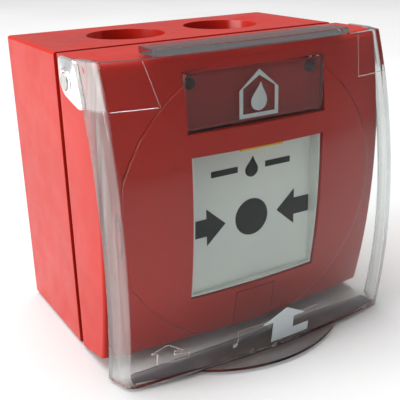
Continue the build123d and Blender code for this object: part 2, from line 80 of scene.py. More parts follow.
def newMaterial(name):
    mat = bpy.data.materials.new(name)
    mat.use_nodes = True
    tree = mat.node_tree
    shader = tree.nodes["Principled BSDF"]
    return mat, tree, shader


def addNode(tree, kind, **values):
    node = tree.nodes.new(kind)
    for key, value in values.items():
        if key in node.inputs:
            node.inputs[key].default_value = value
        else:
            setattr(node, key, value)
    return node


def noiseOn(tree, scale, detail=3.0):
    place = addNode(tree, "ShaderNodeTexCoord")
    noise = addNode(tree, "ShaderNodeTexNoise", Scale=scale, Detail=detail)
    tree.links.new(place.outputs["Object"], noise.inputs["Vector"])
    return noise.outputs["Fac"]


def rampOn(tree, source, stops):
    ramp = addNode(tree, "ShaderNodeValToRGB")
    while len(ramp.color_ramp.elements) < len(stops):
        ramp.color_ramp.elements.new(0.5)
    for element, (at, colour) in zip(ramp.color_ramp.elements, stops):
        element.position = at
        element.color = (*colour, 1.0)
    tree.links.new(source, ramp.inputs["Fac"])
    return ramp.outputs["Color"]


def bumpOn(tree, source, strength, distance):
    bump = addNode(tree, "ShaderNodeBump", Strength=strength, Distance=distance)
    tree.links.new(source, bump.inputs["Height"])
    return bump.outputs["Normal"]


def mouldedPlastic(name, dark, light, rough=(0.3, 0.4), grain=0.05, fine=2600.0, sheen=0.5):
    # a slow drift of colour, a fine moulded grain in the bump and an uneven gloss
    mat, tree, shader = newMaterial(name)
    drift = noiseOn(tree, 34.0, 2.0)
    tree.links.new(rampOn(tree, drift, [(0.3, dark), (0.7, light)]), shader.inputs["Base Color"])
    cloud = noiseOn(tree, 160.0, 4.0)
    lo, hi = rough
    gloss = rampOn(tree, cloud, [(0.35, (lo, lo, lo)), (0.65, (hi, hi, hi))])
    tree.links.new(gloss, shader.inputs["Roughness"])
    tree.links.new(bumpOn(tree, noiseOn(tree, fine, 2.0), grain, 0.0002), shader.inputs["Normal"])
    shader.inputs["Specular IOR Level"].default_value = sheen
    return mat


def brushedMetal(name, dark, light, rough=0.32):
    mat, tree, shader = newMaterial(name)
    scratch = noiseOn(tree, 900.0, 6.0)
    tree.links.new(rampOn(tree, scratch, [(0.3, dark), (0.7, light)]), shader.inputs["Base Color"])
    tree.links.new(bumpOn(tree, scratch, 0.12, 0.0001), shader.inputs["Normal"])
    shader.inputs["Metallic"].default_value = 1.0
    shader.inputs["Roughness"].default_value = rough
    return mat


def clearPlastic(name, tint, through, rough, ior=1.49, alpha=1.0):
    # polished clear moulding: light passes, with faint flow marks in the surface
    mat, tree, shader = newMaterial(name)
    shader.inputs["Base Color"].default_value = (*tint, 1.0)
    shader.inputs["Transmission Weight"].default_value = through
    shader.inputs["IOR"].default_value = ior
    shader.inputs["Alpha"].default_value = alpha
    flow = noiseOn(tree, 45.0, 1.0)
    lo, hi = rough
    gloss = rampOn(tree, flow, [(0.3, (lo, lo, lo)), (0.7, (hi, hi, hi))])
    tree.links.new(gloss, shader.inputs["Roughness"])
    return mat


def rangeOn(tree, source, low, high, start=0.0, end=1.0):
    # source from low..high mapped to start..end and held there outside
    node = addNode(tree, "ShaderNodeMapRange")
    for key, value in (("From Min", low), ("From Max", high), ("To Min", start), ("To Max", end)):
        node.inputs[key].default_value = value
    tree.links.new(source, node.inputs["Value"])
    return node.outputs["Result"]


def mathOn(tree, kind, first, second=None):
    node = addNode(tree, "ShaderNodeMath", operation=kind)
    for k, value in enumerate((first, second)):
        if isinstance(value, (int, float)):
            node.inputs[k].default_value = value
        elif value is not None:
            tree.links.new(value, node.inputs[k])
    return node.outputs[0]


def mixOn(tree, amount, first, second):
    mix = addNode(tree, "ShaderNodeMix", data_type="RGBA")
    tree.links.new(amount, mix.inputs[0])
    for socket, value in ((mix.inputs[6], first), (mix.inputs[7], second)):
        if isinstance(value, tuple):
            socket.default_value = (*value, 1.0)
        else:
            tree.links.new(value, socket)
    return mix.outputs[2]


def objectAxes(tree):
    place = addNode(tree, "ShaderNodeTexCoord")
    split = addNode(tree, "ShaderNodeSeparateXYZ")
    tree.links.new(place.outputs["Object"], split.inputs["Vector"])
    return place.outputs["Object"], split.outputs["X"], split.outputs["Z"]


# where the cover's finish and its painted light change, in metres along X or Z, then the share of frost that
# paints the side walls' sheen and the strength of the painted dark line on the rims
coverZones = {
    "side": (0.0439, 0.0442), "high": (0.0315, 0.0325), "foot": (-0.0409, -0.0407), "crown": (0.0434, 0.0436),
    "sheenFrost": (0.09, 0.19), "highSheenFrost": 0.20, "rim": (0.55, 1.0), "rimShadeLine": 0.85,
}


def paintCoverLight(mat, clear, tints):
    # the side walls are frosted in long streaks, more beside the hinges, as a painted sheen for the light
    # reflected and refracted in them; the foot shelf and lip get a darker reddish tint as painted reflection,
    # the top shelf a darker grey tint as painted shade, and sharp rims a painted dark line
    zones = coverZones
    tree = mat.node_tree
    shader = tree.nodes["Principled BSDF"]
    place, x, z = objectAxes(tree)
    side = rangeOn(tree, mathOn(tree, "ABSOLUTE", x), *zones["side"])
    stretch = addNode(tree, "ShaderNodeMapping")
    stretch.inputs["Scale"].default_value = (1.0, 1.0, 0.02)
    tree.links.new(place, stretch.inputs["Vector"])
    # painted sheen: long streaks of frost across the side walls
    streak = addNode(tree, "ShaderNodeTexNoise", Scale=700.0, Detail=1.0)
    tree.links.new(stretch.outputs["Vector"], streak.inputs["Vector"])
    amount = rangeOn(tree, streak.outputs["Fac"], 0.3, 0.7, *zones["sheenFrost"])
    high = rangeOn(tree, z, *zones["high"], 0.0, zones["highSheenFrost"])
    sheenFrost = mathOn(tree, "MULTIPLY", side, mathOn(tree, "ADD", amount, high))
    tree.links.new(mathOn(tree, "SUBTRACT", 1.0, sheenFrost), shader.inputs["Transmission Weight"])
    # painted reflection: below the foot height the foot shelf and lip take a reddish tint for the red housing
    # seen in them
    foot = rangeOn(tree, z, *zones["foot"], 1.0, 0.0)
    # painted shade: above the crown height the top shelf is tinted dark grey
    crown = rangeOn(tree, z, *zones["crown"])
    colour = mixOn(tree, side, clear, tints["side"])
    colour = mixOn(tree, foot, colour, tints["foot"])
    colour = mixOn(tree, crown, colour, tints["crown"])
    # painted shade: points on sharp rims are darkened towards the line colour
    mark = addNode(tree, "ShaderNodeAttribute", attribute_name="rim")
    line = rangeOn(tree, mark.outputs["Fac"], *zones["rim"], 0.0, zones["rimShadeLine"])
    tree.links.new(mixOn(tree, line, colour, tints["line"]), shader.inputs["Base Color"])


def creaseRing(mat, radius, width, grooveShade):
    # a fine groove at the given radius from the Y axis: painted shade makes it darker, and a bump of the same
    # section turns its surface
    tree = mat.node_tree
    shader = tree.nodes["Principled BSDF"]
    place, x, z = objectAxes(tree)
    squares = mathOn(tree, "ADD", mathOn(tree, "MULTIPLY", x, x), mathOn(tree, "MULTIPLY", z, z))
    far = mathOn(tree, "SQRT", squares)
    off = mathOn(tree, "ABSOLUTE", mathOn(tree, "SUBTRACT", far, radius))
    fade = rangeOn(tree, z, 0.028, 0.037, 1.0, 0.15)
    groove = mathOn(tree, "MULTIPLY", rangeOn(tree, off, 0.0, width, 1.0, 0.0), fade)
    # painted shade: inside the groove the base colour is mixed towards the dark groove colour, fading above z
    # 28 to 37 mm
    plain = shader.inputs["Base Color"].links[0].from_socket
    shade = mixOn(tree, mathOn(tree, "MULTIPLY", groove, 0.6), plain, grooveShade)
    tree.links.new(shade, shader.inputs["Base Color"])
    bump = addNode(tree, "ShaderNodeBump", Strength=0.8, Distance=0.0004, invert=True)
    tree.links.new(groove, bump.inputs["Height"])
    tree.links.new(shader.inputs["Normal"].links[0].from_socket, bump.inputs["Normal"])
    tree.links.new(bump.outputs["Normal"], shader.inputs["Normal"])


redCasing = mouldedPlastic(
    "redCasing", (0.41, 0.011, 0.005), (0.46, 0.015, 0.007),
    (0.30, 0.38), 0.06, 2600.0, 0.3,
)
redFront = mouldedPlastic(
    "redFront", (0.41, 0.011, 0.005), (0.46, 0.015, 0.007),
    (0.30, 0.38), 0.06, 2600.0, 0.3,
)
# painted shade in the crease round the raised disc of the front
creaseRing(redFront, 0.0417, 0.00032, (0.12, 0.004, 0.003))
sealRubber = mouldedPlastic("sealRubber", (0.045, 0.004, 0.004), (0.07, 0.006, 0.006), (0.75, 0.9), 0.2)
whitePlate = mouldedPlastic("whitePlate", (0.70, 0.73, 0.69), (0.76, 0.78, 0.74), (0.34, 0.44), 0.04)
blackInk = mouldedPlastic(
    "blackInk", (0.010, 0.012, 0.012), (0.016, 0.018, 0.018),
    (0.6, 0.7), 0.1, 2600.0, 0.15,
)
greyInk = mouldedPlastic("greyInk", (0.50, 0.52, 0.53), (0.58, 0.60, 0.60), (0.45, 0.55), 0.1)
arrowInk = mouldedPlastic("arrowInk", (0.50, 0.54, 0.56), (0.56, 0.60, 0.62), (0.4, 0.5), 0.1)
blackMoulding = mouldedPlastic(
    "blackMoulding", (0.012, 0.012, 0.013), (0.022, 0.022, 0.024),
    (0.4, 0.55), 0.2,
)
yellowMoulding = mouldedPlastic("yellowMoulding", (0.80, 0.50, 0.02), (0.86, 0.56, 0.03), (0.4, 0.5), 0.08)
lampLens = mouldedPlastic(
    "lampLens", (0.012, 0.015, 0.015), (0.02, 0.024, 0.024),
    (0.35, 0.42), 0.02, 2600.0, 0.2,
)
backPlate = mouldedPlastic("backPlate", (0.46, 0.028, 0.026), (0.52, 0.036, 0.033), (0.5, 0.6), 0.1)
boardGreen = mouldedPlastic(
    "boardGreen", (0.008, 0.10, 0.035), (0.012, 0.14, 0.05),
    (0.25, 0.35), 0.08, 1200.0,
)
terminalGreen = mouldedPlastic("terminalGreen", (0.02, 0.20, 0.08), (0.03, 0.25, 0.10), (0.4, 0.5), 0.1)
zincSteel = brushedMetal("zincSteel", (0.50, 0.50, 0.48), (0.66, 0.65, 0.62))
springSteel = brushedMetal("springSteel", (0.45, 0.45, 0.45), (0.62, 0.62, 0.62), 0.25)
brassMetal = brushedMetal("brassMetal", (0.60, 0.42, 0.16), (0.78, 0.58, 0.26))
clearCoverPlastic = clearPlastic("clearCoverPlastic", (0.94, 0.97, 0.96), 1.0, (0.02, 0.05), 1.26)
# the cover's painted light: a pale side tint for the sheen on the side walls, a reddish foot tint for the red
# housing reflected in the foot and lip, a dark crown tint for painted shade on the top shelf, and a dark line
# colour for painted shade on the rims
paintCoverLight(clearCoverPlastic, (0.94, 0.97, 0.96), {
    "side": (0.79, 0.84, 0.82), "foot": (0.77, 0.69, 0.65),
    "crown": (0.50, 0.48, 0.47), "line": (0.40, 0.43, 0.47),
})
frostedPlastic = clearPlastic("frostedPlastic", (0.95, 0.95, 0.95), 0.92, (0.22, 0.36))
beadPlastic = clearPlastic("beadPlastic", (0.90, 0.88, 0.88), 0.94, (0.15, 0.25), 1.4)
tintedPanePlastic = clearPlastic("tintedPanePlastic", (0.92, 0.50, 0.50), 1.0, (0.03, 0.06), 1.30)
print("materials made")


# helpers that turn computed points and faces into pieces

def gridFaces(rows, cols, wrapRows=False, wrapCols=False, start=0):
    # quads of a rows by cols grid of vertices, row after row; a wrapped side joins last to first
    i = np.arange(rows if wrapRows else rows - 1)[:, None]
    j = np.arange(cols if wrapCols else cols - 1)[None, :]
    nextI = (i + 1) % rows
    nextJ = (j + 1) % cols
    quads = np.stack([i * cols + j, i * cols + nextJ, nextI * cols + nextJ, nextI * cols + j], axis=-1)
    return quads.reshape(-1, 4) + start


def loopBand(first, second):
    # quads between two closed loops of vertex numbers of the same length
    return np.stack([first, np.roll(first, -1), np.roll(second, -1), second], axis=-1)


def placePiece(name, mesh, body, replaced=()):
    # the mesh becomes a piece that rides on a body and stands for the CAD nodes it replaces
    piece = bpy.data.objects.new(name, mesh)
    bpy.context.scene.collection.objects.link(piece)
    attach(piece, body)
    if replaced:
        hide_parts(*replaced)
    return piece


def buildPiece(name, points, faces, material, body, slotName, replaced=(), sharp=35.0, flip=False):
    mesh = bpy.data.meshes.new(name)
    faces = np.asarray(faces)
    if flip:
        faces = faces[:, ::-1]
    mesh.from_pydata((np.asarray(points) * mm).tolist(), [], faces.tolist())
    mesh.validate()
    mesh.update()
    mesh.shade_smooth()
    mesh.set_sharp_from_angle(angle=math.radians(sharp))
    mesh.materials.append(material)
    return placePiece(name, mesh, body, replaced)


def softenEdges(piece, width, segments=2, angle=38.0, harden=False):
    bevel = piece.modifiers.new("softEdges", "BEVEL")
    bevel.width = width * mm
    bevel.segments = segments
    bevel.limit_method = "ANGLE"
    bevel.angle_limit = math.radians(angle)
    bevel.harden_normals = harden


def tidyCopy(nodeName, name, material, body, width):
    # a CAD node's mesh, merged and with its flat regions made whole, so that its edges can be softened
    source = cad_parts[nodeName]
    work = bmesh.new()
    work.from_mesh(source.data)
    bmesh.ops.remove_doubles(work, verts=work.verts, dist=2e-6)
    bmesh.ops.dissolve_limit(work, angle_limit=math.radians(0.8), verts=work.verts, edges=work.edges)
    mesh = bpy.data.meshes.new(name)
    work.to_mesh(mesh)
    work.free()
    mesh.shade_smooth()
    mesh.set_sharp_from_angle(angle=math.radians(30))
    mesh.materials.clear()
    mesh.materials.append(material)
    piece = placePiece(name, mesh, body, [nodeName])
    softenEdges(piece, width, harden=True)


# the bowed surfaces: an arc in plan, carried round an axis along X

def bowedY(x, z, midY, sideY, sideX, bigR, apexZ, out):
    # the plan arc has its middle at midY and passes sideY at sideX; the up-and-down arc has
    # radius bigR at the sides and its apex at apexZ; out moves the surface forwards
    bow = sideY - midY
    bowR = (sideX ** 2 + bow ** 2) / (2 * bow) + out
    planY = midY - out + bowR - np.sqrt(bowR ** 2 - x ** 2)
    axisY = sideY + bigR
    return axisY - np.sqrt((axisY - planY) ** 2 - (z - apexZ) ** 2)


housing = {
    "midY": -66.6, "sideY": -62.2, "sideX": 46.0, "bigR": 198.0, "apexZ": 8.9,
    "backY": -41.6, "top": 43.0, "low": -43.0, "slopeY": -62.0, "slopeZ": -38.6,
    "wall": 2.2, "topRound": 2.2, "sideRound": 0.9, "lowRound": 0.7,
    "discR": 41.7, "discStep": 0.45, "discSoft": 0.9, "cell": 0.55,
    "thinX": 30.0, "thinXShare": 13.8 / 16.0, "thinZ": 38.5, "thinZShare": 2.3 / 4.5,
    "flareZ": -28.0, "slopeFrom": -20.0, "slopeRun": 18.0, "rimRound": 0.25,
}
elementHole = {"left": -21.4, "right": 21.4, "low": -25.0, "high": 16.8}
lampHole = {"left": -22.1, "right": 22.1, "low": 22.9, "high": 38.5}
guideHole = {"left": -6.85, "right": 6.85, "low": -37.7, "high": -26.6}


def housingY(x, z, out=0.0):
    h = housing
    return bowedY(x, z, h["midY"], h["sideY"], h["sideX"], h["bigR"], h["apexZ"], out)


def spacedLines(stops, cell, close):
    # grid lines from the first stop to the last that pass every stop; the two ends are
    # drawn together by the cosine spacing named in close
    lines = [np.array([stops[0]])]
    for a, b in zip(stops[:-1], stops[1:]):
        count = max(1, int(math.ceil((b - a) / cell)))
        lines.append(np.linspace(a, b, count + 1)[1:])
    base = np.concatenate(lines)
    lowEnd, highEnd = close
    if lowEnd:
        arc = stops[0] + lowEnd * (1 - np.cos(np.linspace(0, math.pi / 2, 7)[1:-1]))
        base = np.concatenate([base[:1], arc, base[base > arc[-1] + 0.05]])
    if highEnd:
        arc = stops[-1] - highEnd * (1 - np.cos(np.linspace(0, math.pi / 2, 7)[1:-1]))
        base = np.concatenate([base[base < arc[-1] - 0.05], arc[::-1], base[-1:]])
    return base


def roundDrop(depth, radius):
    # how far a rounded edge falls back, depth being the distance in from the edge
    d = np.clip(radius - depth, 0, radius)
    return radius - np.sqrt(radius ** 2 - d ** 2)


def housingLow(x):
    # where the bowed face meets the sloping underside, found by a few passes
    h = housing
    slope = (h["slopeZ"] - h["low"]) / (h["backY"] - h["slopeY"])
    z = np.full_like(x, h["slopeZ"])
    for _ in range(6):
        z = h["low"] + slope * (h["backY"] - housingY(x, z))
    return z


def frontHousing():
    # outer and inner skins share one grid, joined round the two openings and along the back rim
    h = housing
    xStops = [-h["sideX"], lampHole["left"], elementHole["left"], guideHole["left"]]
    xStops += [-stop for stop in xStops[::-1]]
    zStops = [h["slopeZ"], guideHole["high"], elementHole["low"], elementHole["high"]]
    zStops += [lampHole["low"], lampHole["high"], h["top"]]
    xs = spacedLines(xStops, h["cell"], (h["sideRound"], h["sideRound"]))
    zs = spacedLines(zStops, h["cell"], (h["lowRound"], h["topRound"]))
    x, z = np.meshgrid(xs, zs)
    stretch = np.clip((h["flareZ"] - z) / (h["flareZ"] - h["slopeZ"]), 0, 1)
    lowEdge = housingLow(x)
    z = z + stretch * (lowEdge - h["slopeZ"])
    y = housingY(x, z)
    step = np.clip((h["discR"] - np.hypot(x, z)) / h["discSoft"] + 0.5, 0, 1)
    y = y - h["discStep"] * step ** 2 * (3 - 2 * step)
    y = y + roundDrop(h["sideX"] - np.abs(x), h["sideRound"])
    y = y + roundDrop(h["top"] - z, h["topRound"]) + roundDrop(z - lowEdge, h["lowRound"])
    outer = np.stack([x, y, z], axis=-1)

    sideX, topZ, flareZ = h["thinX"], h["thinZ"], h["flareZ"]
    ix = np.where(np.abs(x) > sideX, np.sign(x) * (sideX + (np.abs(x) - sideX) * h["thinXShare"]), x)
    iz = np.where(z > topZ, topZ + (z - topZ) * h["thinZShare"], z)
    iz = np.where(z < flareZ, flareZ + (z - flareZ) * (1 - h["wall"] / (flareZ - lowEdge)), iz)
    inner = np.stack([ix, housingY(ix, iz, -h["wall"]), iz], axis=-1)

    rows, cols = x.shape
    per = rows * cols
    number = np.arange(per).reshape(rows, cols)
    keep = np.ones((rows - 1, cols - 1), bool)
    bands = []
    for hole in (elementHole, lampHole, guideHole):
        c0, c1 = np.searchsorted(xs, [hole["left"] - 1e-6, hole["right"] - 1e-6])
        r0, r1 = np.searchsorted(zs, [hole["low"] - 1e-6, hole["high"] - 1e-6])
        keep[r0:r1, c0:c1] = False
        ring = np.concatenate([
            number[r0, c0:c1], number[r0:r1, c1], number[r1, c1:c0:-1], number[r1:r0:-1, c0],
        ])
        bands.append(loopBand(ring, ring + per))
    quads = gridFaces(rows, cols).reshape(rows - 1, cols - 1, 4)[keep]
    border = np.concatenate([number[0, :-1], number[:-1, -1], number[-1, :0:-1], number[:0:-1, 0]])

    flat = outer.reshape(-1, 3)
    edge = flat[border]
    slope = (h["slopeZ"] - h["low"]) / (h["backY"] - h["slopeY"])
    drop = np.clip((h["slopeFrom"] - edge[:, 2]) / h["slopeRun"], 0, 1) * slope

    def ringAt(backY, inset):
        # the border carried back; the underside keeps its slope on the way
        ring = edge.copy()
        ring[:, 2] -= drop * (backY - edge[:, 1])
        ring[:, 1] = backY
        ring[:, 0] = np.clip(ring[:, 0], inset - h["sideX"], h["sideX"] - inset)
        ring[:, 2] = np.clip(ring[:, 2], h["low"] + inset, h["top"] - inset)
        return ring

    soft = h["rimRound"]
    rings = [ringAt(h["backY"] - soft, 0.0), ringAt(h["backY"], soft), ringAt(h["backY"], h["wall"])]
    count = len(border)
    first = 2 * per
    ids = [np.arange(count) + first + k * count for k in range(len(rings))]
    loops = [border, *ids, border + per]
    skirt = [loopBand(b, a) for a, b in zip(loops[:-1], loops[1:])]
    points = np.concatenate([flat, inner.reshape(-1, 3), *rings])
    faces = np.concatenate([quads, quads[:, ::-1] + per, *[b[:, ::-1] for b in bands], *skirt])
    return points, faces


points, faces = frontHousing()
housingPiece = buildPiece("frontHousing", points, faces, redFront, "station", "red_casing", ["front_housing"])
softenEdges(housingPiece, 0.18, 2, 50.0)
print("front housing:", len(faces), "faces")


# the clear cover: wall, shelves and lip are patches that share their border points and are then merged

cover = {
    "midY": -77.0, "sideY": -72.6, "sideX": 44.3, "bigR": 165.0, "apexZ": -11.0,
    "thick": 1.8, "backX": 46.9, "backY": -64.6, "low": -42.6, "wallTop": 43.3, "top": 45.2,
    "shelfHalf": 30.5, "shelfY": -57.2, "footHalf": 42.0, "footY": -63.5,
    "lipR": 41.0, "lipY": -80.5, "lipHalf": 24.0, "cell": 1.1,
    "cornerPull": 0.55, "cornerRun": 1.9, "cornerShrink": 0.6,
}


def coverY(x, z, out=0.0):
    c = cover
    return bowedY(x, z, c["midY"], c["sideY"], c["sideX"], c["bigR"], c["apexZ"], out)


def planToY(planY, z):
    # a point planY forward at the apex height, turned about the cover's axis up to height z
    c = cover
    axisY = c["sideY"] + c["bigR"]
    return axisY - np.sqrt((axisY - planY) ** 2 - (z - c["apexZ"]) ** 2)


def coverPlan(inset):
    # half the plan outline from the front arc, round the corner, to the side wall's back edge;
    # the corner is the curve (1-t)^2 a + 2t(1-t) k + t^2 b
    c = cover
    run = np.array([c["backX"] - c["sideX"], c["backY"] - c["sideY"]])
    run /= np.linalg.norm(run)
    flat = coverY(np.array([c["footHalf"]]), c["apexZ"], -inset)[0]
    corner = np.array([c["sideX"], c["sideY"]]) + inset * np.array([-run[1], run[0]])
    corner += run * inset * c["cornerPull"]
    a = np.array([c["footHalf"], flat])
    b = corner + run * (c["cornerRun"] - inset * c["cornerShrink"])
    t = np.linspace(0, 1, 9)[1:, None]
    bend = (1 - t) ** 2 * a + 2 * t * (1 - t) * corner + t ** 2 * b
    back = corner + run * (c["backY"] - corner[1]) / run[1]
    wall = b + (back - b) * np.linspace(0, 1, 9)[1:, None]
    return np.concatenate([bend, wall])


def coverSkin(zs, frontX, inset):
    # every row is one height; columns run from the left back edge round the front to the right one
    side = coverPlan(inset)
    planX = np.concatenate([-side[::-1, 0], frontX, side[:, 0]])
    frontPlan = coverY(frontX, cover["apexZ"], -inset)
    planY = np.concatenate([side[::-1, 1], frontPlan, side[:, 1]])
    z, x = np.meshgrid(zs, planX, indexing="ij")
    return np.stack([x, planToY(planY[None, :], z), z], axis=-1)


def clearCover():
    c = cover
    zs = spacedLines([c["low"], c["low"] + c["thick"], c["wallTop"]], c["cell"], (0, 0))
    stops = [-c["footHalf"], -c["shelfHalf"], -c["lipHalf"], c["lipHalf"], c["shelfHalf"], c["footHalf"]]
    frontX = spacedLines(stops, c["cell"], (0, 0))
    outer = coverSkin(zs, frontX, 0.0)
    inner = coverSkin(zs, frontX, c["thick"])
    planX = outer[0, :, 0]
    patches = []

    def within(half):
        # the column numbers between minus half and plus half
        return slice(int(np.argmin(np.abs(planX + half))), int(np.argmin(np.abs(planX - half))) + 1)

    def addGrid(points, keep=None):
        quads = gridFaces(*points.shape[:2])
        if keep is not None:
            quads = quads[keep.ravel()]
        patches.append((points.reshape(-1, 3), quads))

    shelf, foot, lip = within(c["shelfHalf"]), within(c["footHalf"]), within(c["lipHalf"])
    keepOuter = np.ones((len(zs) - 1, len(planX) - 1), bool)
    keepInner = keepOuter.copy()
    keepOuter[0, lip.start:lip.stop - 1] = False
    keepInner[0, foot.start:foot.stop - 1] = False
    addGrid(outer, keepOuter)
    addGrid(inner, keepInner)
    addGrid(np.stack([outer[:, 0], inner[:, 0]]))
    addGrid(np.stack([outer[:, -1], inner[:, -1]]))
    for row, span in ((0, foot), (-1, shelf)):
        for cut in (slice(0, span.start + 1), slice(span.stop - 1, None)):
            addGrid(np.stack([outer[row, cut], inner[row, cut]]))

    def moved(line, y=None, z=None):
        line = line.copy()
        if y is not None:
            line[:, 1] = y
        if z is not None:
            line[:, 2] = z
        return line

    topFront = outer[-1, shelf]
    x = topFront[:, 0]
    crown = moved(topFront, coverY(x, c["top"]), c["top"])
    shelfPath = np.stack([
        topFront, crown, moved(crown, c["shelfY"]), moved(topFront, c["shelfY"]), inner[-1, shelf],
    ])
    footPath = np.stack([
        outer[0, foot], moved(outer[0, foot], c["footY"]), moved(inner[1, foot], c["footY"]), inner[1, foot],
    ])
    lipX = outer[0, lip][:, 0]
    nose = c["lipY"] + c["lipR"] - np.sqrt(c["lipR"] ** 2 - lipX ** 2)
    nose[[0, -1]] = 0.0
    lipPath = np.stack([
        outer[1, lip],
        moved(outer[1, lip], np.minimum(nose, outer[1, lip][:, 1])),
        moved(outer[0, lip], np.minimum(nose, outer[0, lip][:, 1])),
        outer[0, lip],
    ])
    footEnds = np.concatenate([footPath, inner[:1, foot]])
    for path in (shelfPath, footPath, lipPath):
        addGrid(path)
    for path in (shelfPath, footEnds):
        for end in (0, -1):
            patches.append((path[:, end], np.arange(len(path))[None, :]))
    return patches


def markRims(mesh):
    # the float attribute rim is 1 on the points of sharp edges and 0 elsewhere; it places the painted dark
    # line on the cover's rims
    ends = np.empty(len(mesh.edges) * 2, int)
    mesh.edges.foreach_get("vertices", ends)
    sharp = np.empty(len(mesh.edges), bool)
    mesh.attributes["sharp_edge"].data.foreach_get("value", sharp)
    rim = np.zeros(len(mesh.vertices), np.float32)
    rim[ends.reshape(-1, 2)[sharp].ravel()] = 1.0
    mesh.attributes.new("rim", "FLOAT", "POINT").data.foreach_set("value", rim)


def outwardMesh(name, points, faces, merge=False):
    # a mesh whose faces all point outwards; merge joins the points that lie together
    mesh = bpy.data.meshes.new(name)
    mesh.from_pydata((points * mm).tolist(), [], faces)
    work = bmesh.new()
    work.from_mesh(mesh)
    if merge:
        bmesh.ops.remove_doubles(work, verts=work.verts, dist=2e-6)
        bmesh.ops.dissolve_degenerate(work, dist=1e-7, edges=work.edges)
    bmesh.ops.recalc_face_normals(work, faces=work.faces)
    openEdges = sum(1 for e in work.edges if len(e.link_faces) != 2)
    work.to_mesh(mesh)
    work.free()
    mesh.shade_smooth()
    print(name, "open edges:", openEdges, "faces:", len(mesh.polygons))
    return mesh


def mergedPiece(name, patches, material, body, replaced, width):
    # patches joined into one closed skin by merging the points they share
    starts = np.cumsum([0] + [len(points) for points, _ in patches])
    faces = [face for (_, own), start in zip(patches, starts) for face in (own + start).tolist()]
    mesh = outwardMesh(name, np.concatenate([points for points, _ in patches]), faces, merge=True)
    mesh.set_sharp_from_angle(angle=math.radians(35))
    markRims(mesh)
    mesh.materials.append(material)
    softenEdges(placePiece(name, mesh, body, replaced), width, 2, 40.0)


mergedPiece("clearCover", clearCover(), clearCoverPlastic, "cover", ["clear_cover"], 0.22)


# the ears: a rounded outline round the hinge, in rings from the boss out to the rim and back inside

ear = {
    "y": -51.0, "z": 37.5, "outX": 47.5, "inX": 46.4, "bossX": 47.95, "bossR": 3.4, "boreR": 2.35,
    "outline": [(-46.2, 43.2), (-46.2, 36.4), (-48.4, 33.8), (-57.4, 31.6), (-60.4, 31.8), (-57.0, 43.2)],
}


def roundedLoop(corners, radius, count):
    # even steps round a polygon whose corners are cut by the curve through (corner - r, corner, corner + r)
    pts = np.array(corners, float)
    rounded = []
    for before, here, after in zip(np.roll(pts, 1, 0), pts, np.roll(pts, -1, 0)):
        a = here + (before - here) * min(0.45, radius / np.linalg.norm(before - here))
        b = here + (after - here) * min(0.45, radius / np.linalg.norm(after - here))
        t = np.linspace(0, 1, 6)[:, None]
        rounded.append((1 - t) ** 2 * a + 2 * t * (1 - t) * here + t ** 2 * b)
    loop = np.concatenate(rounded)
    closed = np.vstack([loop, loop[:1]])
    run = np.concatenate([[0], np.cumsum(np.linalg.norm(np.diff(closed, axis=0), axis=1))])
    steps = np.linspace(0, run[-1], count + 1)[:-1]
    return np.stack([np.interp(steps, run, closed[:, k]) for k in (0, 1)], axis=-1)


def hingeEar(side):
    # ring k lies at x_k, shrunk by s_k from the outline towards a circle of radius r_k about the pin
    e = ear
    count = 96
    loop = roundedLoop(e["outline"], 1.6, count)
    hub = np.array([e["y"], e["z"]])
    angle = np.arctan2(*(loop - hub).T[::-1])
    circle = np.stack([np.cos(angle), np.sin(angle)], axis=-1)
    rings = []
    for x, r in ((e["bossX"], e["boreR"]), (e["bossX"], e["bossR"] - 0.5),
                 (e["bossX"] - 0.15, e["bossR"] - 0.15),
                 (e["outX"] + 0.05, e["bossR"]), (e["outX"], e["bossR"] + 0.1)):
        rings.append((x, hub + circle * r))
    for x, share in ((e["outX"], 0.94), (e["outX"] - 0.1, 0.985), (e["outX"] - 0.3, 1.0),
                     (e["inX"] + 0.15, 1.0), (e["inX"], 0.985)):
        rings.append((x, hub + (loop - hub) * share))
    rings.append((e["inX"], hub + circle * e["boreR"]))
    points = np.concatenate([np.column_stack([np.full(count, side * x), ring]) for x, ring in rings])
    return points, gridFaces(len(rings), count, wrapRows=True, wrapCols=True)


for side, label in ((-1, "Left"), (1, "Right")):
    points, faces = hingeEar(side)
    earArgs = ("cover", "clear_cover", ["clear_cover"], 40.0, side > 0)
    buildPiece("hingeEar" + label, points, faces, frostedPlastic, *earArgs)
print("cover and ears done")


# fine raised lines moulded on the cover: half-round beads laid along the bowed front

def surfaceBead(path, width, height, closed=False):
    # across the bead the rise is height * cos(pi u / 2) for u from -1 to 1, measured from the front's surface
    line = np.array(path, float)
    if closed:
        line = np.vstack([line, line[:1]])
    run = np.concatenate([[0], np.cumsum(np.linalg.norm(np.diff(line, axis=0), axis=1))])
    steps = np.unique(np.concatenate([run, np.arange(0, run[-1], 0.8)]))
    spine = np.stack([np.interp(steps, run, line[:, k]) for k in (0, 1)], axis=-1)
    along = np.gradient(spine, axis=0)
    along /= np.linalg.norm(along, axis=1)[:, None]
    across = np.stack([-along[:, 1], along[:, 0]], axis=-1)
    u = np.linspace(-1, 1, 7)
    place = spine[:, None, :] + across[:, None, :] * (u * width / 2)[None, :, None]
    rise = height * np.cos(u * math.pi / 2)
    rise[[0, -1]] = -0.05
    taper = np.ones(len(steps))
    taper[[0, -1]] = 0.0
    out = rise[None, :] * taper[:, None] - 0.03 * (1 - taper[:, None])
    y = coverY(place[..., 0], place[..., 1]) - out
    top = np.stack([place[..., 0], y, place[..., 1]], axis=-1)
    base = top[:, ::-1].copy()
    base[..., 1] = coverY(base[..., 0], base[..., 2]) + 0.12
    ring = np.concatenate([top, base], axis=1)
    rows, cols = ring.shape[:2]
    ends = [np.arange(cols)[::-1], np.arange(cols) + (rows - 1) * cols]
    return ring.reshape(-1, 3), gridFaces(rows, cols, wrapCols=True), ends


